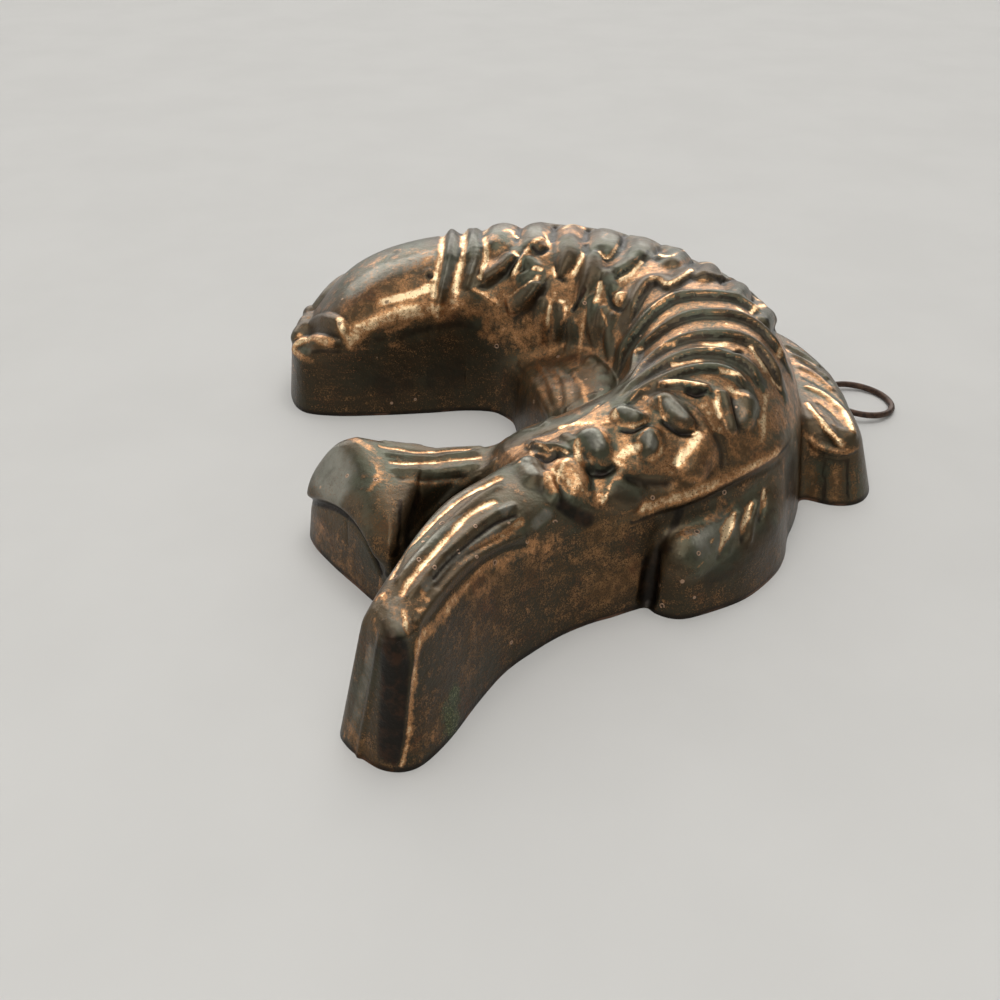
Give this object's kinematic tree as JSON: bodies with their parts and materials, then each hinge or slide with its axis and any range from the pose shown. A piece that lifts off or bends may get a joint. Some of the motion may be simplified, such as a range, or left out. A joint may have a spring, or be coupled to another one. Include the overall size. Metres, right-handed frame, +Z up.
{
  "type": "fish mould",
  "caption": "Curled copper fish mould, a pressed one-piece shell with scaled relief, open underneath, with a wire hanging ring hinged in a soldered lug.",
  "frame": {"origin": "middle of the footprint's bounding box, on the plane of the rim", "axes": "+Z up from the rim to the relief, -Y towards the tail lobe that points at the viewer in the picture, +X towards the hanging ring"},
  "size_m": [0.1764, 0.1834, 0.0454],
  "materials": {
    "shell_copper": "copper with a dark brown and grey-green patina, bright copper in the grooves and worn places, tinned inside",
    "lug_copper": "dull patinated copper strip",
    "solder": "dull grey tin solder",
    "ring_wire": "dark patinated round wire"
  },
  "bodies": {
    "mould": {"mould_shell": "shell_copper", "ring_lug": "lug_copper", "lug_solder": "solder"},
    "ring": {"hanging_ring": "ring_wire"}
  },
  "joints": [
    {"name": "ring_hinge", "type": "hinge", "parent": "mould", "child": "ring", "pos_m": [0.06834, 0.04518, 0.0031], "axis": [0.2588, -0.9659, 0], "range_deg": [-98, 110]}
  ]
}
